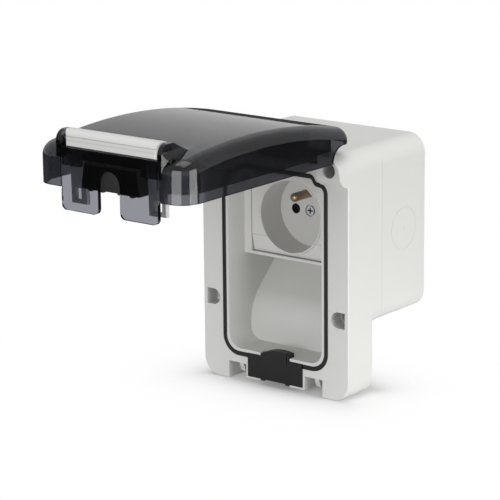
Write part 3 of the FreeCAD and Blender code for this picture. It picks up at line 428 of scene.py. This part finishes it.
def stand_in(name, node, mesh, material, body, bevel=0.0, segments=2):
    """A piece that stands for a CAD node: softened, shaded, in its finish, on its body."""
    piece = bpy.data.objects.new(name, mesh)
    bpy.context.scene.collection.objects.link(piece)
    if bevel > 0:
        soften(piece, bevel, segments)
    shade(piece)
    piece.data.materials.clear()
    piece.data.materials.append(material)
    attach(piece, body)
    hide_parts(node)


def dressed(node, material, body, bevel, segments=2, flat_within=0.6):
    """A softened copy of a CAD node that stands for it."""
    mesh = merged_copy(node, flat_within)
    stand_in(node + "_dressed", node, mesh, material, body, bevel, segments)


def finish_node(node, material):
    """A CAD node that keeps its own mesh and gets a finish."""
    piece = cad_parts[node]
    piece.data.materials.clear()
    piece.data.materials.append(material)


# Screws made by Geometry Nodes


class Shaper(Tree):
    """A Geometry Nodes tree with named inputs for its sizes."""

    def __init__(self, name, **sizes):
        super().__init__(bpy.data.node_groups.new(name, "GeometryNodeTree"))
        face = self.tree.interface
        face.new_socket("Geometry", in_out="INPUT", socket_type="NodeSocketGeometry")
        face.new_socket("Geometry", in_out="OUTPUT", socket_type="NodeSocketGeometry")
        self.values = {}
        for size_name, value in sizes.items():
            socket = face.new_socket(size_name, in_out="INPUT", socket_type="NodeSocketFloat")
            self.values[socket.identifier] = value
        self.start = self.node("NodeGroupInput")

    def size(self, name):
        return self.start.output(name)

    def moved_up(self, geometry, height):
        lift = self.node("ShaderNodeCombineXYZ", None, {"Z": height})
        return self.node("GeometryNodeTransform", None, {
            "Geometry": geometry, "Translation": lift})

    def finish(self, geometry, material):
        """Real meshes instead of copies, in the given finish."""
        real = self.node("GeometryNodeRealizeInstances", None, {"Geometry": geometry})
        coated = self.node("GeometryNodeSetMaterial", None, {
            "Geometry": real, "Material": material})
        self.node("NodeGroupOutput", None, {0: coated})

    def grown_on(self, points):
        """The mesh that the tree makes on a set of places."""
        seat = bpy.data.objects.new("screw_seat", points)
        bpy.context.scene.collection.objects.link(seat)
        grow = seat.modifiers.new("grown", "NODES")
        grow.node_group = self.tree
        for identifier, value in self.values.items():
            grow[identifier] = value
        mesh = evaluated_mesh(seat)
        bpy.data.objects.remove(seat)
        return mesh


def cross_head(shaper):
    """A head that widens to its flat face, with a cross recess in that face."""
    size = shaper.size
    foot_share = 0.86
    head = shaper.node("GeometryNodeMeshCone", None, {
        "Vertices": 40, "Radius Bottom": size("head_radius") * foot_share,
        "Radius Top": size("head_radius"), "Depth": size("head_height")})
    arms = []
    for first, second in (("cross_length", "cross_width"), ("cross_width", "cross_length")):
        box = shaper.node("ShaderNodeCombineXYZ", None, {
            "X": size(first), "Y": size(second), "Z": size("cross_depth") * 2.0})
        arms.append(shaper.node("GeometryNodeMeshCube", None, {"Size": box}))
    return shaper.node("GeometryNodeMeshBoolean", {"operation": "DIFFERENCE", "solver": "EXACT"}, {
        "Mesh 1": head, "Mesh 2": arms})


def shank(shaper):
    """A plain rod from behind the head to the screw's tip."""
    size = shaper.size
    rod = shaper.node("GeometryNodeMeshCylinder", None, {
        "Vertices": 24, "Radius": size("root_radius"), "Depth": size("shank_length")})
    return shaper.moved_up(rod, size("shank_length") * 0.5 + size("head_height"))


def thread(shaper):
    """A ridge that winds along the lower part of the shank."""
    threaded_share = 0.62
    plain_share = 0.35
    size = shaper.size
    threaded = size("length") * threaded_share
    start = size("length") * plain_share
    helix = shaper.node("GeometryNodeCurveSpiral", None, {
        "Resolution": 20, "Rotations": threaded / size("pitch"),
        "Start Radius": size("root_radius"), "End Radius": size("root_radius"),
        "Height": threaded})
    ridge = shaper.node("GeometryNodeCurvePrimitiveCircle", None, {
        "Resolution": 3, "Radius": size("pitch") * 0.3})
    wound = shaper.node("GeometryNodeCurveToMesh", None, {
        "Curve": helix, "Profile Curve": ridge, "Fill Caps": True})
    return shaper.moved_up(wound, start)


def cross_head_screws(node, places, head_radius, head_height, radius, length, material,
                      pointing=1):
    """Screws that are all alike and stand for a CAD node. Pointing 1 is toward the wall, -1 away."""
    shaper = Shaper(
        node + "_shape",
        head_radius=head_radius,
        head_height=head_height,
        root_radius=radius * 0.84,
        length=length,
        shank_length=length - head_height,
        pitch=radius * 0.5,
        cross_width=head_radius * 0.3,
        cross_length=head_radius * 1.3,
        cross_depth=head_height * 0.55)
    screw = shaper.node("GeometryNodeJoinGeometry", None, {
        "Geometry": [cross_head(shaper), shank(shaper), thread(shaper)]})
    copies = shaper.node("GeometryNodeInstanceOnPoints", None, {
        "Points": shaper.start, "Instance": screw,
        "Rotation": (math.radians(-90.0 * pointing), 0.0, 0.0)})
    shaper.finish(copies, material)
    points = bpy.data.meshes.new(node + "_places")
    points.from_pydata(places, [], [])
    stand_in(node + "_threaded", node, shaper.grown_on(points), material, "case")


def middle_screw():
    """The bright screw in the middle of the recess."""
    low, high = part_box("centre_screw")
    cross_head_screws("centre_screw", [(0.0, low.y, 0.0)], head_radius=2.8 * MM,
                      head_height=1.9 * MM, radius=1.6 * MM, length=high.y - low.y,
                      material=BRIGHT_STEEL)


def case_screws():
    """The four screws that hold the front housing on the back box."""
    low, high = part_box("housing_screws")
    places = [(side * CASE_SCREWS_ASIDE, low.y, height)
              for side in (-1, 1) for height in CASE_SCREW_HEIGHTS]
    cross_head_screws("housing_screws", places, head_radius=3.7 * MM, head_height=3.0 * MM,
                      radius=2.0 * MM, length=high.y - low.y, material=STEEL)


def clamp_screws():
    """The terminals' screws, with their heads toward the wall.

    The earth terminal sits on the earth strip, so its screw ends nearer to the wall.
    """
    strip_thickness = 1.0 * MM
    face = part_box("terminal_screws")[1].y
    places = [(side * CONTACT_ASIDE, face - strip_thickness, 0.0) for side in (-1, 1)]
    places.append((0.0, face, -EARTH_TERMINAL_DROP))
    cross_head_screws("terminal_screws", places, head_radius=2.9 * MM, head_height=1.6 * MM,
                      radius=1.6 * MM, length=4.6 * MM, material=STEEL, pointing=-1)


# Pieces

for node in ("front_housing", "back_box", "socket_well"):
    dressed(node, HOUSING, "case", bevel=0.25 * MM)
dressed("recess_cup", MODULE, "case", bevel=0.2 * MM)
dressed("opening_gasket", RUBBER, "case", bevel=0.6 * MM, segments=3)
dressed("cable_seal_lower", RUBBER, "case", bevel=0.4 * MM, segments=3)
dressed("cable_seal_upper", RUBBER, "lid", bevel=0.4 * MM, segments=3)
dressed("entry_grommet", RUBBER, "case", bevel=0.3 * MM)
dressed("housing_seal", RUBBER, "case", bevel=0.1 * MM, segments=1)
dressed("socket_cover", MODULE, "case", bevel=0.2 * MM)
dressed("latch", LATCH, "latch", bevel=0.12 * MM)
dressed("lid", SMOKED, "lid", bevel=0.25 * MM, flat_within=0.02)
middle_screw()
case_screws()
clamp_screws()
for node in ("earth_pin", "earth_strip", "contact_left", "contact_right",
             "terminal_left", "terminal_right", "terminal_earth"):
    finish_node(node, BRASS)
for node in ("latch_pin", "hinge_pin_left", "hinge_pin_right"):
    finish_node(node, STEEL)
finish_node("socket_base", INSULATOR)
finish_node("shutter", RUBBER)

# Floor, backdrop, lamps and camera


def studio_world(level):
    """Plain even light, and a white backdrop for the eye, for reflections and through the lid."""
    world = bpy.data.worlds.new("studio")
    world.use_nodes = True
    tree = Tree(world.node_tree)
    plain = tree.given("Background", Color=WHITE, Strength=level)
    backdrop = tree.node("ShaderNodeBackground", None, {"Color": WHITE, "Strength": 1.0})
    sight = tree.seen_by(Camera=1.0, Transmission=1.0, Glossy=0.5)
    both = tree.node("ShaderNodeMixShader", None, {0: sight, 1: plain, 2: backdrop})
    tree.given("World Output", Surface=both)
    bpy.context.scene.world = world


def distance_from_foot(shader):
    """How far a place on the floor is from the rectangle that the case stands on."""
    foot_middle = -55.0 * MM
    foot_half_depth = 15.5 * MM
    across, deep, high = shader.across()
    beside = (abs(across) - FRONT_HIGH.x).larger(0.0)
    before = (abs(deep - foot_middle) - foot_half_depth).larger(0.0)
    return (beside * beside + before * before).root()


def floor_paper():
    """Pale paper whose shadow shows near the foot and is lost in the room's white further out."""
    fade_start = 0.07
    fade_end = 0.3
    shadow_share = 0.85
    shadow_fade = 18.0
    fade_base = 0.01
    shader = Shader("floor_paper")
    from_foot = distance_from_foot(shader)
    far = shader.ramp(from_foot, fade_start, fade_end, 0.0, 1.0)
    room = 1.0 - fade_base ** (from_foot * shadow_fade) * shadow_share
    shader.set(Base_Color=shader.between(far, grey(0.92), grey(0.1)), Roughness=0.95,
               Specular_IOR_Level=0.0)
    white = shader.node("ShaderNodeEmission", None, {"Color": WHITE, "Strength": 1.0})
    blend = shader.node("ShaderNodeMixShader", None, {
        0: room * shader.seen_by(Camera=1.0, Transmission=1.0),
        1: shader.given("Principled BSDF"), 2: white})
    shader.given("Material Output", Surface=blend)
    return shader.material


def studio_floor():
    """A table top just under the foot, lost in the white of the room further out."""
    reach = 3.0
    level = FRONT_LOW.z - 0.1 * MM
    corners = [(-reach, -reach, level), (reach, -reach, level), (reach, reach, level),
               (-reach, reach, level)]
    mesh = bpy.data.meshes.new("floor")
    mesh.from_pydata(corners, [], [(0, 1, 2, 3)])
    mesh.materials.append(floor_paper())
    floor = bpy.data.objects.new("floor", mesh)
    bpy.context.scene.collection.objects.link(floor)


def softbox(name, place, aim, size, radiance, diffuse=True, glossy=False):
    """A soft lamp of an even radiance. The eye never sees it, and gloss only if it is glossy."""
    data = bpy.data.lights.new(name, "AREA")
    data.shape = "RECTANGLE"
    data.size, data.size_y = size
    data.energy = radiance * math.pi * size[0] * size[1]
    lamp = bpy.data.objects.new(name, data)
    bpy.context.scene.collection.objects.link(lamp)
    lamp.location = place
    lamp.rotation_euler = (Vector(aim) - Vector(place)).to_track_quat("-Z", "Y").to_euler()
    lamp.visible_camera = False
    lamp.visible_transmission = False
    lamp.visible_diffuse = diffuse
    lamp.visible_glossy = glossy


def studio_lamps():
    """Three softboxes that light the object, and two strips that only polished faces show."""
    softbox("side_softbox", place=(0.62, -0.05, 0.04), aim=(0.0, -0.05, 0.04),
            size=(0.46, 0.26), radiance=6.5)
    softbox("front_softbox", place=(0.06, -0.72, 0.04), aim=(0.06, 0.0, 0.04),
            size=(0.2, 0.26), radiance=10.0)
    softbox("top_softbox", place=(0.0, -0.1, 1.5), aim=(0.0, -0.08, 0.0),
            size=(1.2, 1.2), radiance=2.5, glossy=True)
    lid_corner = (0.045, -0.2, 0.055)
    softbox("front_strip", place=(0.0516, -0.419, 0.055), aim=lid_corner,
            size=(0.23, 0.28), radiance=4.6, diffuse=False, glossy=True)
    softbox("side_strip", place=(0.263, -0.165, 0.055), aim=lid_corner,
            size=(0.19, 0.28), radiance=5.6, diffuse=False, glossy=True)


def photo_camera():
    """The camera at the photograph's viewing angle."""
    place = Vector((0.7584, -1.0628, 0.3012))
    right = Vector((0.7897, 0.6134, -0.0096)).normalized()
    forward = Vector((-0.5966, 0.7641, -0.2455)).normalized()
    up = right.cross(forward).normalized()
    data = bpy.data.cameras.new("photo_camera")
    data.lens = 174.8
    data.sensor_width = 36.0
    data.clip_end = 50.0
    camera = bpy.data.objects.new("photo_camera", data)
    bpy.context.scene.collection.objects.link(camera)
    turn = Matrix((right, up, -forward)).transposed()
    camera.matrix_world = Matrix.Translation(place) @ turn.to_4x4()
    bpy.context.scene.camera = camera


studio_world(level=0.45)
studio_floor()
studio_lamps()
photo_camera()
bpy.context.scene.view_settings.view_transform = "Standard"
